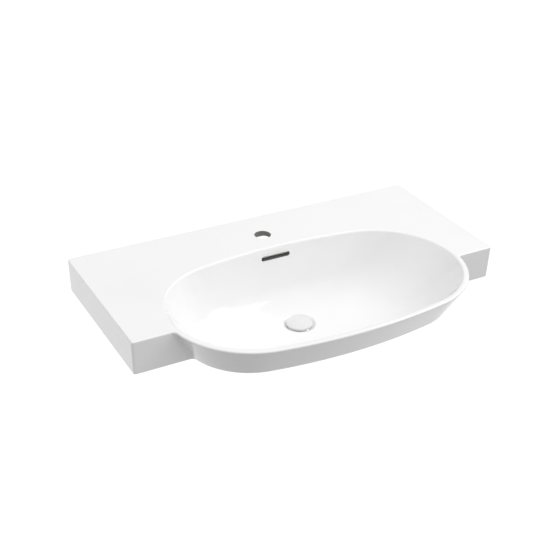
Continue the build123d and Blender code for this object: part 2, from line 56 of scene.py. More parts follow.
# Slab and apron
SLAB_HALF_WIDTH = BODY_HIGH.x
SLAB_DEPTH = 342.0
SLAB_HEIGHT = 70.0
FRONT_CORNER_R, BACK_CORNER_R = 5.0, 9.0
SLAB_END_DRAFT = 1.5
SLAB_FRONT_DRAFT = 0.7
DECK_THICKNESS = 12.0
TOP_EDGE_R = 3.0
BOTTOM_EDGE_R = 1.5
JUNCTION_R = 9.0
RIM_CENTRE_Y = -314.0
RIM_HALF_LENGTH, RIM_HALF_DEPTH = 321.0, 184.0
APRON_HALF_LENGTH, APRON_HALF_DEPTH = 283.0, 142.5
OVAL_JOINT = radians(80.0)

# Bowl
MOUTH_FRONT_Y, MOUTH_REAR_Y = -485.0, -138.0
MOUTH_HALF_LENGTH = 309.0
MOUTH_EDGE_R = 5.0
BOWL_DEPTH = 127.5
FRONT_DRAFT, REAR_DRAFT, END_DRAFT = 30.7, 4.0, 27.6
FRONT_FALL, REAR_FALL, END_FALL = 5.0, 12.0, 4.0
BOWL_FULLNESS = 1.8
DISH_R, DISH_DEPTH, DISH_FLOOR_R = 36.0, 4.5, 27.5
RECESS_R = 26.3

# Overflow slot and tap hole
SLOT_DROP, SLOT_LENGTH, SLOT_HEIGHT = 24.0, 66.0, 10.0
SLOT_EDGE_R = 1.5
SLOT_END_Y = -127.0
TAP_HOLE_Y, TAP_HOLE_R, TAP_HOLE_EDGE_R = -81.0, 17.5, 1.0

# Cap over the drain
CAP_R = (CAP_HIGH.x - CAP_LOW.x) / 2
CAP_CROWN = 1.5
CAP_SHOULDER_R = 1.6
CAP_FOOT_R = 0.5
CAP_RECESS_R, CAP_RECESS_DEPTH = 20.3, 2.5

# How finely the surfaces are divided, in steps along and in rows across
END_STEPS, REAR_STEPS, FRONT_STEPS = 96, 96, 48
BOWL_ROWS, DISH_ROWS, WALL_ROWS = 96, 10, 10
ROLL_ROWS = 8
CORNER_STEPS, JUNCTION_STEPS, STRAIGHT_STEPS = 16, 24, 12
HOLE_STEPS = 96
SLOT_END_STEPS = 16
CAP_STEPS, CROWN_ROWS = 128, 24
WELD = 1e-4
NUMERIC_STEP = 0.01

# A face of the body's own mesh is covered if a shown face lies this near and faces like it,
# by the cosine between them, and if it doesn't look straight down, as the underside does
COVER = 2.0
AGREEMENT = 0.7
DOWN = -0.9995
MERGE = 0.001
SMOOTH_ANGLE = radians(30)
# The overflow channel lies behind the bowl, this far to each side, and is this narrow
CHANNEL_HALF, CHANNEL_REACH = 50.0, 22.0
# The foot of the outside is tucked in behind the level underside. That closes the seam, also
# at the front corners, which are crisper than those of the body's own mesh
TUCK = 2.5

# Marks of thread and tool: the G 1 1/4 thread has 11 turns to the inch
THREAD_PITCH, THREAD_DEPTH = 25.4 / 11, 0.5
THREAD_ROOT_R, THREAD_TOP_Z = 20.5, -110.0
TOOL_FEED, TOOL_MARK_DEPTH = 0.4, 0.01

# Camera: where it looks, from which side and how high, how it is rolled, how far off it is,
# its lens and how far it sees
VIEW_TARGET = (-59.883, -265.294, 45.0)
VIEW_TURN, VIEW_RISE, VIEW_ROLL = -0.51714, 0.52277, 0.025774
VIEW_DISTANCE = 2079.9
VIEW_LENS, VIEW_END = 68.747, 100000.0

# Floor: its glow begins and is full at distances along the camera's level direction
FLOOR_Z, FLOOR_HALF = -2000.0, 30000.0
FLOOR_PAINT = "#9a9a9a"
GLOW_START, GLOW_FULL, GLOW = -1500.0, 1000.0, 0.75

# Side softbox, upright on the basin's right: its corners and its radiance
SOFTBOX_X = 2000.0
SOFTBOX_Y, SOFTBOX_Z = (-1900.0, 1400.0), (1200.0, 3400.0)
SOFTBOX_RADIANCE = 2.3

# Studio sky: an even part, and glows with their plan angle, rise, sharpness and strength
SKY_EVEN = 0.24
SKY_GLOWS = [
    (0, 90, 2, 0.68),
    (180, 25, 3, 0.6),
    (-90, 30, 3, 0.34),
    (-45, 30, 3, 0.62),
    (135, 25, 3, 0.2),
]


def stacked(x, y, z):
    """One array of points from three arrays of coordinates of any shapes that fit together."""
    return np.stack(np.broadcast_arrays(x, y, z), -1).astype(float)


def unit(vectors):
    """The vectors divided by their lengths."""
    return vectors / np.linalg.norm(vectors, axis=-1, keepdims=True)


def level(drop):
    """Height of a drop."""
    return TOP_Z - drop


def grid_patch(points, normals, closed=True, open_cells=None):
    """Quads between the rows and columns of a grid of points, apart from its open cells."""
    rows, columns = points.shape[:2]
    index = np.arange(rows * columns).reshape(rows, columns)
    if closed:
        index = np.hstack([index, index[:, :1]])
    cells = np.stack([index[:-1, :-1], index[:-1, 1:], index[1:, 1:], index[1:, :-1]], -1)
    cells = cells.reshape(-1, 4) if open_cells is None else cells[~open_cells]
    return points.reshape(-1, 3), normals.reshape(-1, 3), cells


def fill_patch(loops, normals):
    """Triangles between an outer loop of points and the loops inside it."""
    triangles = np.array(tessellate_polygon([loop.tolist() for loop in loops]))
    corners = np.concatenate([triangles, triangles[:, 2:]], axis=1)
    return np.concatenate(loops), np.concatenate(normals), corners


def welded(patches):
    """One surface from several patches.

    Equal points become one, with the mean of their normals. Each face is turned so that it
    agrees with the normals at its corners, and a quad with two equal corners is a triangle.
    """
    starts = np.cumsum([0] + [len(points) for points, _, _ in patches])
    points = np.concatenate([points for points, _, _ in patches])
    normals = np.concatenate([normals for _, normals, _ in patches])
    faces = np.concatenate([cells + start for (_, _, cells), start in zip(patches, starts)])
    keys = np.round(points / WELD).astype(np.int64)
    _, first, place = np.unique(keys, axis=0, return_index=True, return_inverse=True)
    place = place.ravel()
    sums = np.zeros((len(first), 3))
    np.add.at(sums, place, normals)
    points, normals, faces = points[first], unit(sums), place[faces]
    a, b, c, d = (points[faces[:, corner]] for corner in range(4))
    facing = np.einsum("ij,ij->i", np.cross(c - a, d - b), normals[faces].sum(1))
    faces = np.where(facing[:, None] < 0, faces[:, ::-1], faces)
    doubled = faces == np.roll(faces, -1, axis=1)
    quads = faces[doubled.sum(1) == 0]
    thin = doubled.sum(1) == 1
    triangles = faces[thin][~doubled[thin]].reshape(-1, 3)
    corner_normals = np.concatenate([normals[quads].reshape(-1, 3), normals[triangles].reshape(-1, 3)])
    return points, quads.tolist() + triangles.tolist(), corner_normals


def joined(surfaces):
    """One surface from several that share no points."""
    starts = np.cumsum([0] + [len(points) for points, _, _ in surfaces])
    points = np.concatenate([points for points, _, _ in surfaces])
    normals = np.concatenate([normals for _, _, normals in surfaces])
    faces = [
        [corner + start for corner in face]
        for (_, surface_faces, _), start in zip(surfaces, starts)
        for face in surface_faces
    ]
    return points, faces, normals


def make_piece(name, surface, finish_of, finishes, body, node):
    """A piece that rides on a body and stands for a CAD node.

    It is made of a surface, the place in the list of finishes that each of its faces has, and
    that list.
    """
    points, faces, normals = surface
    mesh = bpy.data.meshes.new(name)
    mesh.from_pydata(points * MM, [], faces)
    for coat in finishes:
        mesh.materials.append(coat)
    mesh.polygons.foreach_set("material_index", finish_of)
    mesh.polygons.foreach_set("use_smooth", [True] * len(faces))
    mesh.normals_split_custom_set(normals)
    piece = bpy.data.objects.new(name, mesh)
    bpy.context.scene.collection.objects.link(piece)
    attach(piece, body)
    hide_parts(node)


# The bowl and its rim


def reach(drop, mouth, draft, fall):
    """Horizontal distance from the drain axis to the bowl's wall at a drop.

    The section is a conic from the mouth to the drain's dish. It leaves the mouth at the
    wall's draft, meets the dish at the floor's fall, and its fullness pulls it towards the
    corner where these two lines would meet.
    """
    wall, floor = tan(radians(draft)), tan(radians(fall))
    corner = (mouth - (BOWL_DEPTH + DISH_R * floor) * wall) / (1 - floor * wall)
    corner_drop = BOWL_DEPTH - (corner - DISH_R) * floor
    k = 2 * BOWL_FULLNESS
    a = drop * (2 - k) + k * corner_drop - BOWL_DEPTH
    b = drop * (k - 2) - k * corner_drop
    t = (-b - np.sqrt(np.maximum(b * b - 4 * a * drop, 0))) / (2 * a)
    weights = (1 - t) ** 2, k * t * (1 - t), t * t
    return (weights[0] * mouth + weights[1] * corner + weights[2] * DISH_R) / sum(weights)


def oval_sizes(half_length, half_depth):
    """End and side radii of a four-arc oval whose arcs meet at the joint angle."""
    spread = (half_length - half_depth) / (cos(OVAL_JOINT) + sin(OVAL_JOINT) - 1)
    return half_length - spread * cos(OVAL_JOINT), half_depth + spread * sin(OVAL_JOINT)


def on_oval(angle, half_length, half_depth, centre_y):
    """Where the oval's outward normal has a plan angle: its arc's centre plus its radius."""
    end_r, side_r = oval_sizes(half_length, half_depth)
    on_side = np.abs(np.sin(angle)) > sin(OVAL_JOINT)
    radius = np.where(on_side, side_r, end_r)
    arc_x = np.where(on_side, 0, np.sign(np.cos(angle)) * (half_length - end_r))
    arc_y = np.where(on_side, np.sign(np.sin(angle)) * (half_depth - side_r), 0)
    return arc_x + radius * np.cos(angle), centre_y + arc_y + radius * np.sin(angle)


def bowl_section(drop):
    """Half length, half depth and centre of the bowl's oval section at a drop."""
    front = reach(drop, DRAIN_Y - MOUTH_FRONT_Y, FRONT_DRAFT, FRONT_FALL)
    rear = reach(drop, MOUTH_REAR_Y - DRAIN_Y, REAR_DRAFT, REAR_FALL)
    end = reach(drop, MOUTH_HALF_LENGTH, END_DRAFT, END_FALL)
    return end, (front + rear) / 2, DRAIN_Y + (rear - front) / 2


def bowl_point(angle, drop):
    """Point of the bowl's surface: its section at the drop, taken at the plan angle."""
    x, y = on_oval(angle, *bowl_section(drop))
    return stacked(x, y, level(drop))


def bowl_steepness(angle, drop):
    """How fast the bowl draws in with depth, along the plan normal."""
    across = stacked(np.cos(angle), np.sin(angle), 0)
    drop = np.clip(drop, NUMERIC_STEP, BOWL_DEPTH - NUMERIC_STEP)
    above, below = (bowl_point(angle, drop + side) for side in (-NUMERIC_STEP, NUMERIC_STEP))
    return ((above - below) * across).sum(-1) / (2 * NUMERIC_STEP)


def bowl_normal(angle, drop):
    """Direction from the bowl's surface into the bowl."""
    return unit(stacked(-np.cos(angle), -np.sin(angle), bowl_steepness(angle, drop)))


def plan_angles():
    """Plan angles of the bowl's columns: right end, rear side, left end, front side."""
    joint = OVAL_JOINT
    turns = [-joint, joint, np.pi - joint, np.pi + joint, 2 * np.pi - joint]
    steps = [END_STEPS, REAR_STEPS, END_STEPS, FRONT_STEPS]
    spans = [np.linspace(*turns[i : i + 2], steps[i], endpoint=False) for i in range(4)]
    return np.concatenate(spans)


def bowl_rim(angle):
    """The roll from the deck into the bowl.

    A ball that touches deck and wall rolls along the mouth. The surface runs round it from
    straight up to the wall's own normal, at the ball's radius from its centre.
    """
    slope = np.arctan(bowl_steepness(angle, 0.0))
    back = MOUTH_EDGE_R * np.tan(np.pi / 4 - slope / 2)
    out = stacked(np.cos(angle), np.sin(angle), 0)
    mouth = bowl_point(angle, 0.0)
    centre = mouth + out * back[:, None] - [0, 0, MOUTH_EDGE_R]
    turn = np.linspace(0, 1, ROLL_ROWS + 1)[:, None] * (np.pi / 2 - slope)
    normals = -out * np.sin(turn)[..., None] + stacked(0, 0, np.cos(turn))
    return centre + MOUTH_EDGE_R * normals, normals, back * np.cos(slope)


def dish(angle):
    """The soft dip round the drain: a circle that shrinks while its drop eases to the floor."""
    radius = np.linspace(DISH_R, RECESS_R, DISH_ROWS + 1)[:, None]
    share = np.clip((DISH_R - radius) / (DISH_R - DISH_FLOOR_R), 0, 1)
    drop = BOWL_DEPTH + DISH_DEPTH * share**2 * (3 - 2 * share)
    fall = -DISH_DEPTH * 6 * share * (1 - share) / (DISH_R - DISH_FLOOR_R)
    across, along = np.cos(angle), np.sin(angle)
    points = stacked(radius * across, DRAIN_Y + radius * along, level(drop))
    return points, unit(stacked(fall * across, fall * along, 1.0))


def slot_outline(grown):
    """The slot's outline grown by a distance, with its outward direction: two half circles."""
    half_turn = np.linspace(-np.pi / 2, np.pi / 2, SLOT_END_STEPS + 1)
    turn = np.concatenate([half_turn, half_turn + np.pi])
    end_x = np.repeat([1, -1], SLOT_END_STEPS + 1) * (SLOT_LENGTH - SLOT_HEIGHT) / 2
    radius = SLOT_HEIGHT / 2 + grown
    out = stacked(np.cos(turn), 0, np.sin(turn))
    return stacked(end_x, 0, level(SLOT_DROP)) + radius * out, out


def rear_wall_y(x, z):
    """Where the bowl's rear wall lies behind a point in front of it: on the rear side arc."""
    half_length, half_depth, centre_y = bowl_section(level(z))
    side_r = oval_sizes(half_length, half_depth)[1]
    return centre_y + half_depth - side_r + np.sqrt(side_r**2 - x**2)


def overflow_slot():
    """Outline of the slot where it meets the bowl, with the patches of its rim and walls.

    The rim is a quarter round from the bowl's surface into the slot, and the walls run
    straight back from it to the channel.
    """
    edge, out = slot_outline(SLOT_EDGE_R)
    surface_y = rear_wall_y(edge[:, 0], edge[:, 2])
    wall_normal = bowl_normal(np.pi / 2, SLOT_DROP)
    turn = np.linspace(0, np.pi / 2, ROLL_ROWS + 1)[:, None, None]
    inward = SLOT_EDGE_R * np.sin(turn)
    points = edge - out * inward
    points[..., 1] = surface_y + SLOT_EDGE_R * (1 - np.cos(turn[..., 0]))
    normals = unit(wall_normal * np.cos(turn) - out * np.sin(turn))
    end = points[-1:].copy()
    end[..., 1] = SLOT_END_Y
    walls = np.concatenate([points[-1:], end])
    wall_normals = np.repeat(-out[None], 2, axis=0)
    return (points[0], normals[0]), grid_patch(points, normals), grid_patch(walls, wall_normals)


def bowl(angle):
    """Patches of the bowl with its rim, dish and slot rim, the slot's walls, and the outer loop."""
    rim, rim_normals, start = bowl_rim(angle)
    ease = np.sin(np.linspace(0, np.pi / 2, BOWL_ROWS + 1))[:, None]
    drops = start + (BOWL_DEPTH - start) * ease
    points = bowl_point(angle, drops)
    normals = bowl_normal(angle, drops)
    points[0], normals[0] = rim[-1], rim_normals[-1]

    # A block of cells round the slot stays open and is filled up to the slot's own outline
    (slot_edge, slot_normals), slot_rim, slot_walls = overflow_slot()
    middle = END_STEPS + REAR_STEPS // 2
    half_block = slot_edge[:, 0].max() + 2 * SLOT_EDGE_R
    columns = np.flatnonzero(np.abs(points[0, :middle, 0]) > half_block)[-1]
    columns = np.array([columns, 2 * middle - columns])
    heights = points[:, middle, 2]
    above = np.flatnonzero(heights > slot_edge[:, 2].max() + SLOT_EDGE_R)[-1]
    below = np.flatnonzero(heights < slot_edge[:, 2].min() - SLOT_EDGE_R)[0]
    open_cells = np.zeros((BOWL_ROWS, len(angle)), bool)
    open_cells[above:below, columns[0] : columns[1]] = True
    ring = [
        (above, slice(columns[0], columns[1])),
        (slice(above, below), columns[1]),
        (below, slice(columns[1], columns[0], -1)),
        (slice(below, above, -1), columns[0]),
    ]
    block, block_normals = (np.concatenate([grid[part] for part in ring]) for grid in (points, normals))
    around = fill_patch([block, slot_edge], [block_normals, slot_normals])
    patches = [
        grid_patch(rim, rim_normals),
        grid_patch(points, normals, open_cells=open_cells),
        grid_patch(*dish(angle)),
        around,
        slot_rim,
    ]
    return patches, slot_walls, rim[0]


# The outside of the slab and apron


def arc(centre, radius, start, end, steps):
    """Points of an arc, last point left out, with the directions from its centre."""
    turn = np.linspace(start, end, steps, endpoint=False)
    out = stacked(np.cos(turn), np.sin(turn), 0)
    return np.array([*centre, 0]) + radius * out, out


def straight(start, end, normal, steps):
    """Points of a straight run, last point left out, with its constant outward normal."""
    share = np.linspace(0, 1, steps, endpoint=False)[:, None]
    points = np.array([*start, 0]) * (1 - share) + np.array([*end, 0]) * share
    return points, np.broadcast_to(np.array([*normal, 0.0]), points.shape)


def body_outline(drop):
    """Outline of slab and apron at a drop, with its outward normals and its back's columns.

    The right half is the back, a corner, the end, a corner, the front, the hollow junction,
    the apron's end arc and half of its front arc. The left half is its mirror image.
    """
    share = drop / SLAB_HEIGHT
    half_width = SLAB_HALF_WIDTH - drop * tan(radians(SLAB_END_DRAFT))
    front_y = drop * tan(radians(SLAB_FRONT_DRAFT)) - SLAB_DEPTH
    half_length = RIM_HALF_LENGTH + share * (APRON_HALF_LENGTH - RIM_HALF_LENGTH)
    half_depth = RIM_HALF_DEPTH + share * (APRON_HALF_DEPTH - RIM_HALF_DEPTH)
    end_r, side_r = oval_sizes(half_length, half_depth)
    end_x, side_y = half_length - end_r, RIM_CENTRE_Y - half_depth + side_r
    junction_y = front_y - JUNCTION_R
    rise = junction_y - RIM_CENTRE_Y
    run = sqrt((end_r + JUNCTION_R) ** 2 - rise**2)
    touch = np.arctan2(rise, run)
    junction_x = end_x + run
    front_r, back_r = FRONT_CORNER_R, BACK_CORNER_R
    quarter = np.pi / 2
    hollow, hollow_out = arc(
        (junction_x, junction_y), JUNCTION_R, quarter, np.pi + touch, JUNCTION_STEPS
    )
    runs = [
        straight((0, 0), (half_width - back_r, 0), (0, 1), STRAIGHT_STEPS),
        arc((half_width - back_r, -back_r), back_r, quarter, 0, CORNER_STEPS),
        straight((half_width, -back_r), (half_width, front_y + front_r), (1, 0), STRAIGHT_STEPS),
        arc((half_width - front_r, front_y + front_r), front_r, 0, -quarter, CORNER_STEPS),
        straight((half_width - front_r, front_y), (junction_x, front_y), (0, -1), STRAIGHT_STEPS),
        (hollow, -hollow_out),
        arc((end_x, RIM_CENTRE_Y), end_r, touch, -OVAL_JOINT, END_STEPS),
        arc((0, side_y), side_r, -OVAL_JOINT, -quarter, FRONT_STEPS),
    ]
    points, normals = (np.concatenate(column) for column in zip(*runs))
    front = np.array([[0, side_y - side_r, 0]]), np.array([[0, -1.0, 0]])
    mirror = [-1, 1, 1]
    points = np.concatenate([points, front[0], points[:0:-1] * mirror])
    normals = np.concatenate([normals, front[1], normals[:0:-1] * mirror])
    points[:, 2] = level(drop)
    return points, normals


def roll(edge, normal, lean, radius, rows, below=False):
    """Rounding between a level face and a leaning wall, along an edge.

    A ball that touches both rolls inside the edge. The surface runs round it between
    straight up, or down if the level face is below, and the wall's own normal.
    """
    up = -1 if below else 1
    half = (np.pi / 2 - up * lean) / 2
    centre = edge - normal * (radius / np.tan(half))[:, None] - [0, 0, up * radius]
    turn = np.linspace(0, 1, rows + 1)[:, None] * (np.pi / 2 + up * lean)
    normals = normal * np.sin(turn)[..., None] + stacked(0, 0, up * np.cos(turn))
    return centre + radius * normals, normals


def outer_shell():
    """Patches of the slab's and apron's outside, and the top roll's inner loop.

    The wall is ruled between the outlines at its top and foot. Its back, which stands
    against the wall of the room, is left to the body's hidden surfaces.
    """
    top, top_out = body_outline(0)
    foot, foot_out = body_outline(SLAB_HEIGHT)
    lean_top = np.arctan(((top - foot) * top_out).sum(1) / SLAB_HEIGHT)
    lean_foot = np.arctan(((top - foot) * foot_out).sum(1) / SLAB_HEIGHT)
    upper, upper_normals = roll(top, top_out, lean_top, TOP_EDGE_R, ROLL_ROWS)
    lower, lower_normals = roll(foot, foot_out, lean_foot, BOTTOM_EDGE_R, ROLL_ROWS, below=True)
    share = np.linspace(0, 1, WALL_ROWS + 1)[:, None, None]
    wall = upper[-1] * (1 - share) + lower[-1] * share
    wall_normals = unit(upper_normals[-1] * (1 - share) + lower_normals[-1] * share)
    tuck = np.stack([lower[0], lower[0] - foot_out * TUCK + [0, 0, TUCK]])
    open_back = np.zeros(len(top), bool)
    open_back[:STRAIGHT_STEPS] = open_back[-STRAIGHT_STEPS:] = True
    patches = [
        grid_patch(upper, upper_normals),
        grid_patch(wall, wall_normals, open_cells=np.tile(open_back, (WALL_ROWS, 1))),
        grid_patch(lower, lower_normals, open_cells=np.tile(open_back, (ROLL_ROWS, 1))),
        grid_patch(tuck, np.stack([lower_normals[0]] * 2), open_cells=open_back[None]),
    ]
    return patches, upper[0]


def tap_hole():
    """Patches of the tap hole's round edge and of its wall, and the loop where it meets the deck."""
    turn = np.linspace(0, 2 * np.pi, HOLE_STEPS, endpoint=False)
    out = stacked(np.cos(turn), np.sin(turn), 0)
    centre = np.array([0, TAP_HOLE_Y, 0])
    bend = np.linspace(0, np.pi / 2, ROLL_ROWS + 1)[:, None, None]
    normals = -out * np.sin(bend) + [0, 0, 1] * np.cos(bend)
    edge = centre + out * (TAP_HOLE_R + TAP_HOLE_EDGE_R) + [0, 0, level(TAP_HOLE_EDGE_R)]
    points = edge + TAP_HOLE_EDGE_R * normals
    foot = centre + out * TAP_HOLE_R + [0, 0, level(DECK_THICKNESS)]
    wall = np.stack([points[-1], foot])
    return grid_patch(points, normals), grid_patch(wall, np.stack([-out] * 2)), points[0]


def shown_surfaces():
    """The glazed surface, from deck to bowl, and the unglazed walls of the slot and the tap hole, whose
    dark grey is painted shade.
    """
    bowl_patches, slot_walls, mouth_loop = bowl(plan_angles())
    shell_patches, deck_loop = outer_shell()
    hole_edge, hole_wall, hole_loop = tap_hole()
    loops = [deck_loop, mouth_loop, hole_loop]
    up = [np.broadcast_to([0.0, 0.0, 1.0], loop.shape) for loop in loops]
    deck = fill_patch(loops, up)
    return welded([deck, *shell_patches, hole_edge, *bowl_patches]), welded([hole_wall, slot_walls])


def hidden_surface(shown):
    """The body's other faces, and which of them line the overflow channel.

    They are a merged copy of the body's own mesh without the faces that a shown face near
    them covers and faces the same way as. The level underside of the skirt always stays. A
    face lines the channel if it is behind the drain and another face is close in front of it.
    """
    tree = BVHTree.FromPolygons((shown[0] * MM).tolist(), shown[1])
    copy = bmesh.new()
    copy.from_mesh(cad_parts["basin_body"].data)
    bmesh.ops.remove_doubles(copy, verts=copy.verts, dist=MERGE * MM)
    covered = []
    for face in copy.faces:
        near = tree.find_nearest_range(face.calc_center_median(), COVER * MM)
        agrees = any(normal.dot(face.normal) > AGREEMENT for _, normal, _, _ in near)
        if agrees and face.normal.z > DOWN:
            covered.append(face)
    bmesh.ops.delete(copy, geom=covered, context="FACES")
    whole = BVHTree.FromBMesh(copy)
    lines_channel = []
    for face in copy.faces:
        centre = face.calc_center_median()
        behind = abs(centre.x) < CHANNEL_HALF * MM and centre.y > DRAIN_Y * MM
        hit = whole.ray_cast(centre + face.normal * MM, face.normal, CHANNEL_REACH * MM)
        lines_channel.append(behind and hit[0] is not None)
    mesh = bpy.data.meshes.new("hidden_china")
    copy.to_mesh(mesh)
    copy.free()
    mesh.polygons.foreach_set("use_smooth", [True] * len(mesh.polygons))
    mesh.set_sharp_from_angle(angle=SMOOTH_ANGLE)
    points = np.empty(len(mesh.vertices) * 3)
    mesh.vertices.foreach_get("co", points)
    normals = np.empty(len(mesh.loops) * 3)
    mesh.corner_normals.foreach_get("vector", normals)
    faces = [list(face.vertices) for face in mesh.polygons]
    bpy.data.meshes.remove(mesh)
    return (points.reshape(-1, 3) / MM, faces, normals.reshape(-1, 3)), lines_channel


def make_basin():
    """The basin's china: glazed where it shows, bare below, and unglazed in slot, hole and channel,
    where its dark grey is painted shade.
    """
    glazed, raw_walls_painted_shade = shown_surfaces()
    hidden, lines_channel = hidden_surface(joined([glazed, raw_walls_painted_shade]))
    surface = joined([glazed, raw_walls_painted_shade, hidden])
    # The holes' finish is a dark grey: painted shade for the slot, the tap hole and the channel.
    finishes = [glazed_china("glazed_vitreous_china", ("#e9e9e9", "#efefef")), bare_china(), raw_china_painted_shade()]
    glaze, bare, raw_painted_shade = range(len(finishes))
    finish_of = [glaze] * len(glazed[1]) + [raw_painted_shade] * len(raw_walls_painted_shade[1])
    finish_of += [raw_painted_shade if lines else bare for lines in lines_channel]
    make_piece("china_basin", surface, finish_of, finishes, "basin", "basin_body")


def turned(runs, steps):
    """Patches of a body turned about the drain axis, one for each run of its half section.

    A run gives radius, height and the elevation of the outward normal along it. Each
    point of the section goes round the axis at its radius.
    """
    turn = np.linspace(0, 2 * np.pi, steps, endpoint=False)
    patches = []
    for radius, height, elevation in runs:
        radius, height, elevation = (
            np.atleast_1d(v)[:, None] for v in np.broadcast_arrays(radius, height, elevation)
        )
        points = stacked(radius * np.cos(turn), DRAIN_Y + radius * np.sin(turn), height)
        flat = np.cos(elevation)
        normals = stacked(flat * np.cos(turn), flat * np.sin(turn), np.sin(elevation))
        patches.append(grid_patch(points, normals))
    return patches


def cap_surface():
    """The china cap: a shallow crown, a round shoulder, an upright edge and a hollow below."""
    foot, top = CAP_LOW.z, CAP_HIGH.z
    flat_r = CAP_R - CAP_SHOULDER_R
    crown_r = (flat_r**2 + CAP_CROWN**2) / (2 * CAP_CROWN)
    shoulder_r = CAP_SHOULDER_R / (1 - flat_r / (2 * crown_r))
    shoulder_x = CAP_R - shoulder_r
    shoulder_z = top - crown_r + sqrt((crown_r - shoulder_r) ** 2 - shoulder_x**2)
    lean = np.linspace(0, np.arcsin(shoulder_x / (crown_r - shoulder_r)), CROWN_ROWS + 1)
    bend = np.linspace(np.pi / 2 - lean[-1], 0, ROLL_ROWS + 1)
    under = np.linspace(0, -np.pi / 2, ROLL_ROWS + 1)
    edge_r = CAP_R - CAP_FOOT_R
    level_foot, hollow = np.array([edge_r, CAP_RECESS_R]), foot + CAP_RECESS_DEPTH
    runs = [
        (crown_r * np.sin(lean), top - crown_r * (1 - np.cos(lean)), np.pi / 2 - lean),
        (shoulder_x + shoulder_r * np.cos(bend), shoulder_z + shoulder_r * np.sin(bend), bend),
        (CAP_R, np.array([shoulder_z, foot + CAP_FOOT_R]), 0.0),
        (edge_r + CAP_FOOT_R * np.cos(under), foot + CAP_FOOT_R * (1 + np.sin(under)), under),
        (level_foot, foot, -np.pi / 2),
        (CAP_RECESS_R, np.array([foot, hollow]), np.pi),
        (np.array([CAP_RECESS_R, 0]), hollow, -np.pi / 2),
    ]
    return welded(turned(runs, CAP_STEPS))


def make_cap():
    """The cap's china, glazed all over."""
    # The cap's tones are greyer than the basin's: painted shade for the cap, low in the bowl.
    surface, finishes = cap_surface(), [glazed_china("glazed_cap_china_painted_shade", ("#dadada", "#e0e0e0"))]
    make_piece("china_cap", surface, [0] * len(surface[1]), finishes, "cap", "waste_cap")


# Finishes


def linear(hex_colour):
    """Linear red, green, blue and alpha of an sRGB hex colour."""
    channels = np.array([int(hex_colour[i : i + 2], 16) / 255 for i in (1, 3, 5)])
    dark, light = channels / 12.92, ((channels + 0.055) / 1.055) ** 2.4
    return (*np.where(channels <= 0.04045, dark, light), 1.0)


def add_node(tree, kind, settings=None, inputs=None, links=None):
    """A node of a kind, with its settings, the values of its inputs and links into them."""
    node = tree.nodes.new(kind)
    for name, value in (settings or {}).items():
        setattr(node, name, value)
    for name, value in (inputs or {}).items():
        node.inputs[name].default_value = value
    for name, source in (links or {}).items():
        tree.links.new(source, node.inputs[name])
    return node


def per_metre(size_mm):
    """Scale of a noise pattern whose features are a size across."""
    return 1 / (size_mm * MM)


def wave_scale(pitch_mm):
    """Scale of a wave pattern that repeats at a pitch: its own period is a tenth of pi."""
    return np.pi / 10 / (pitch_mm * MM)


def finish(name, tones, patch_mm, grain_mm, grain_depth_mm, values, marks=None):
    """A material whose tone drifts between two colours in patches, under a fine relief.

    Tone and relief are noise in the object's own space. Marks makes the height of a second
    relief from the tree and the place in it, and comes with that relief's depth.
    """
    material = bpy.data.materials.new(name)
    material.use_nodes = True
    tree = material.node_tree
    tree.nodes.clear()
    place = add_node(tree, "ShaderNodeTexCoord").outputs["Object"]
    patches, grain = (
        add_node(
            tree,
            "ShaderNodeTexNoise",
            inputs={"Scale": per_metre(size), "Detail": 2.0},
            links={"Vector": place},
        )
        for size in (patch_mm, grain_mm)
    )
    tone = add_node(
        tree,
        "ShaderNodeMix",
        {"data_type": "RGBA"},
        {6: linear(tones[0]), 7: linear(tones[1])},
        {"Factor": patches.outputs["Fac"]},
    )
    relief = add_node(
        tree,
        "ShaderNodeBump",
        inputs={"Distance": grain_depth_mm * MM},
        links={"Height": grain.outputs["Fac"]},
    )
    if marks:
        make_height, depth_mm = marks
        relief = add_node(
            tree,
            "ShaderNodeBump",
            inputs={"Distance": depth_mm * MM},
            links={"Height": make_height(tree, place), "Normal": relief.outputs["Normal"]},
        )
    shader = add_node(
        tree,
        "ShaderNodeBsdfPrincipled",
        inputs=values,
        links={"Base Color": tone.outputs[2], "Normal": relief.outputs["Normal"]},
    )
    add_node(tree, "ShaderNodeOutputMaterial", links={"Surface": shader.outputs["BSDF"]})
    return material


def from_drain(tree, place):
    """The place counted from the drain axis."""
    shift = (0, -DRAIN_Y * MM, 0)
    return add_node(tree, "ShaderNodeMapping", inputs={"Location": shift}, links={"Vector": place})


def turning_marks(tree, place):
    """Fine rings round the drain axis, as a lathe tool leaves them."""
    rings = add_node(
        tree,
        "ShaderNodeTexWave",
        {"wave_type": "RINGS", "rings_direction": "Z"},
        {"Scale": wave_scale(TOOL_FEED), "Distortion": 0.4},
        {"Vector": from_drain(tree, place).outputs["Vector"]},
    )
    return rings.outputs["Fac"]


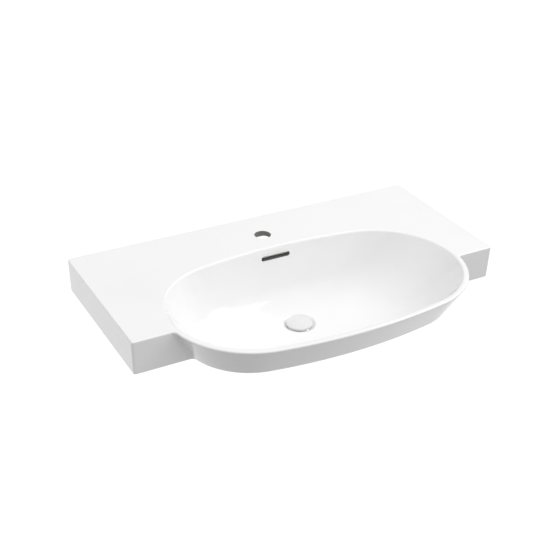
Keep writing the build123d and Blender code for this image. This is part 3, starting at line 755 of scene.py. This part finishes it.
def pipe_thread(tree, place):
    """Turns of the pipe thread: level waves at its pitch, on the outside of the tube alone."""
    turns = add_node(
        tree,
        "ShaderNodeTexWave",
        {"wave_type": "BANDS", "bands_direction": "Z"},
        {"Scale": wave_scale(THREAD_PITCH)},
        {"Vector": place},
    )
    flat = add_node(
        tree,
        "ShaderNodeVectorMath",
        {"operation": "MULTIPLY"},
        {1: (1, 1, 0)},
        {0: from_drain(tree, place).outputs["Vector"]},
    )
    radius = add_node(
        tree, "ShaderNodeVectorMath", {"operation": "LENGTH"}, links={0: flat.outputs["Vector"]}
    )
    outside = add_node(
        tree,
        "ShaderNodeMath",
        {"operation": "GREATER_THAN"},
        {1: THREAD_ROOT_R * MM},
        {0: radius.outputs["Value"]},
    )
    height = add_node(tree, "ShaderNodeSeparateXYZ", links={0: place})
    below = add_node(
        tree,
        "ShaderNodeMath",
        {"operation": "LESS_THAN"},
        {1: THREAD_TOP_Z * MM},
        {0: height.outputs["Z"]},
    )
    where = add_node(
        tree,
        "ShaderNodeMath",
        {"operation": "MULTIPLY"},
        links={0: outside.outputs["Value"], 1: below.outputs["Value"]},
    )
    threaded = add_node(
        tree,
        "ShaderNodeMath",
        {"operation": "MULTIPLY"},
        links={0: turns.outputs["Fac"], 1: where.outputs["Value"]},
    )
    return threaded.outputs["Value"]


def glazed_china(name, tones):
    """Vitreous china under a clear fired glaze: a soft white body below a glossy skin.

    The glaze pools a little, so the white shifts faintly over a hand's width, and its
    surface keeps a slight waviness that bends long reflections. The cap's tones are greyer
    than the basin's: painted shade for the cap, low in the bowl.
    """
    gloss = {"Roughness": 0.06, "IOR": 1.52}
    return finish(name, tones, 110, 14, 0.02, gloss)


def bare_china():
    """Vitreous china left unglazed on its hidden side: warm white and matt, with a fine grain."""
    matt = {"Roughness": 0.75, "IOR": 1.5}
    return finish("unglazed_vitreous_china", ("#cfccc4", "#dedbd5"), 70, 0.8, 0.03, matt)


def raw_china_painted_shade():
    """Unglazed body in the holes, which no glaze reaches: a dull grey, painted shade that keeps them
    dark.
    """
    matt = {"Roughness": 0.85, "IOR": 1.5}
    return finish("raw_body_painted_shade_in_holes", ("#777573", "#898785"), 20, 0.8, 0.05, matt)


def polished_chrome():
    """Chrome plate on polished brass: a cool mirror with faint buffing waves and a cut thread."""
    mirror = {"Metallic": 1.0, "Roughness": 0.08}
    marks = pipe_thread, THREAD_DEPTH
    return finish("polished_chrome_plate", ("#c3c6c9", "#cfd2d4"), 30, 5, 0.004, mirror, marks)


def turned_brass():
    """Brass as it leaves the lathe: warm yellow metal with fine rings that spread its shine."""
    metal = {"Metallic": 1.0, "Roughness": 0.3}
    marks = turning_marks, TOOL_MARK_DEPTH
    return finish("turned_brass", ("#b08d45", "#c8a65c"), 12, 1.0, 0.004, metal, marks)


def moulded_rubber():
    """Black EPDM rubber from a mould: near black, matt and slightly grained."""
    matt = {"Roughness": 0.72, "IOR": 1.52}
    return finish("moulded_epdm_rubber", ("#191a1b", "#262728"), 9, 0.6, 0.02, matt)


def drawn_stainless():
    """Drawn stainless spring steel: grey metal with a satin shine."""
    satin = {"Metallic": 1.0, "Roughness": 0.27}
    return finish("drawn_stainless_steel", ("#a09f9c", "#b6b5b1"), 6, 0.5, 0.003, satin)


def moulded_acetal():
    """White acetal from a mould: a smooth, slightly waxy plastic."""
    waxy = {"Roughness": 0.4, "IOR": 1.48}
    return finish("moulded_white_acetal", ("#e2e1db", "#ecebe6"), 15, 0.7, 0.006, waxy)


def coat_kept_nodes():
    """Put the finish of each material on the CAD nodes that stay as they are."""
    coats = {
        polished_chrome(): ["waste_body"],
        turned_brass(): ["backnut", "cap_carrier", "cap_stem", "stem_locknut", "plunger"],
        moulded_rubber(): ["cap_seal", "flange_gasket", "cone_washer"],
        drawn_stainless(): ["seal_washer", "return_spring"],
        moulded_acetal(): ["slip_washer", "cam_ring", "guide_bush", "cartridge_body", "cartridge_cap"],
    }
    for coat, names in coats.items():
        for name in names:
            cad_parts[name].material_slots[0].material = coat


make_basin()
make_cap()
coat_kept_nodes()


# Floor, camera and light


def add_camera():
    """The camera of the photograph: turned to the left of the basin and looking down on it."""
    back = Vector(
        (
            sin(VIEW_TURN) * cos(VIEW_RISE),
            -cos(VIEW_TURN) * cos(VIEW_RISE),
            sin(VIEW_RISE),
        )
    )
    level_right = (-back).cross(Vector((0, 0, 1))).normalized()
    upright = level_right.cross(-back)
    right = level_right * cos(VIEW_ROLL) + upright * sin(VIEW_ROLL)
    up = upright * cos(VIEW_ROLL) - level_right * sin(VIEW_ROLL)
    data = bpy.data.cameras.new("photo_camera")
    data.sensor_fit = "HORIZONTAL"
    data.lens = VIEW_LENS
    data.clip_end = VIEW_END * MM
    camera = bpy.data.objects.new("photo_camera", data)
    place = (Vector(VIEW_TARGET) + back * VIEW_DISTANCE) * MM
    facing = Matrix((right, up, back)).transposed().to_4x4()
    camera.matrix_world = Matrix.Translation(place) @ facing
    bpy.context.scene.collection.objects.link(camera)
    bpy.context.scene.camera = camera


def add_floor():
    """A plain floor well below the basin, in dull grey paint, with a white glow behind it."""
    corners = np.array([[-1, -1, 0], [1, -1, 0], [1, 1, 0], [-1, 1, 0]]) * FLOOR_HALF + [0, 0, FLOOR_Z]
    mesh = bpy.data.meshes.new("floor")
    mesh.from_pydata(corners * MM, [], [(0, 1, 2, 3)])
    paint = bpy.data.materials.new("floor_paint")
    paint.use_nodes = True
    tree = paint.node_tree
    tree.nodes.clear()
    place = add_node(tree, "ShaderNodeTexCoord").outputs["Object"]
    along = add_node(
        tree,
        "ShaderNodeVectorMath",
        {"operation": "DOT_PRODUCT"},
        {1: (-sin(VIEW_TURN), cos(VIEW_TURN), 0)},
        {0: place},
    )
    glow = add_node(
        tree,
        "ShaderNodeMapRange",
        {"interpolation_type": "SMOOTHSTEP"},
        {"From Min": GLOW_START * MM, "From Max": GLOW_FULL * MM, "To Max": GLOW},
        {"Value": along.outputs["Value"]},
    )
    shader = add_node(
        tree,
        "ShaderNodeBsdfPrincipled",
        inputs={
            "Base Color": linear(FLOOR_PAINT),
            "Roughness": 1.0,
            "Specular IOR Level": 0.0,
            "Emission Color": (1, 1, 1, 1),
        },
        links={"Emission Strength": glow.outputs["Result"]},
    )
    add_node(tree, "ShaderNodeOutputMaterial", links={"Surface": shader.outputs["BSDF"]})
    mesh.materials.append(paint)
    floor = bpy.data.objects.new("floor", mesh)
    bpy.context.scene.collection.objects.link(floor)


def add_softbox():
    """An upright rectangular softbox on the basin's right, which faces it."""
    data = bpy.data.lights.new("side_softbox", "AREA")
    data.shape = "RECTANGLE"
    data.size, data.size_y = ((end - start) * MM for start, end in (SOFTBOX_Y, SOFTBOX_Z))
    data.energy = np.pi * SOFTBOX_RADIANCE * data.size * data.size_y
    lamp = bpy.data.objects.new("side_softbox", data)
    place = Vector((SOFTBOX_X, sum(SOFTBOX_Y) / 2, sum(SOFTBOX_Z) / 2)) * MM
    facing = Vector((-1, 0, 0)).to_track_quat("-Z", "Y").to_matrix().to_4x4()
    lamp.matrix_world = Matrix.Translation(place) @ facing
    lamp.visible_camera = False
    bpy.context.scene.collection.objects.link(lamp)


def add_studio_sky():
    """Soft light from the studio's walls and ceiling: an even part and a few wide glows.

    Each glow falls off as a power of the cosine of the angle from its middle.
    """
    world = bpy.data.worlds.new("studio")
    world.use_nodes = True
    tree = world.node_tree
    tree.nodes.clear()
    direction = add_node(tree, "ShaderNodeTexCoord").outputs["Generated"]
    even = add_node(tree, "ShaderNodeMath", {"operation": "ADD"}, {0: SKY_EVEN, 1: 0.0})
    total = even.outputs["Value"]
    for turn, rise, sharpness, strength in SKY_GLOWS:
        turn, rise = radians(turn), radians(rise)
        middle = (cos(turn) * cos(rise), sin(turn) * cos(rise), sin(rise))
        cosine = add_node(
            tree, "ShaderNodeVectorMath", {"operation": "DOT_PRODUCT"}, {1: middle}, {0: direction}
        )
        facing = add_node(
            tree, "ShaderNodeMath", {"operation": "MAXIMUM"}, {1: 0.0}, {0: cosine.outputs["Value"]}
        )
        falloff = add_node(
            tree, "ShaderNodeMath", {"operation": "POWER"}, {1: sharpness}, {0: facing.outputs["Value"]}
        )
        total = add_node(
            tree,
            "ShaderNodeMath",
            {"operation": "MULTIPLY_ADD"},
            {1: strength},
            {0: falloff.outputs["Value"], 2: total},
        ).outputs["Value"]
    white = {"Color": (1, 1, 1, 1)}
    background = add_node(tree, "ShaderNodeBackground", inputs=white, links={"Strength": total})
    add_node(tree, "ShaderNodeOutputWorld", links={"Surface": background.outputs["Background"]})
    bpy.context.scene.world = world


add_camera()
add_floor()
add_studio_sky()
add_softbox()
bpy.context.scene.view_settings.view_transform = "Standard"
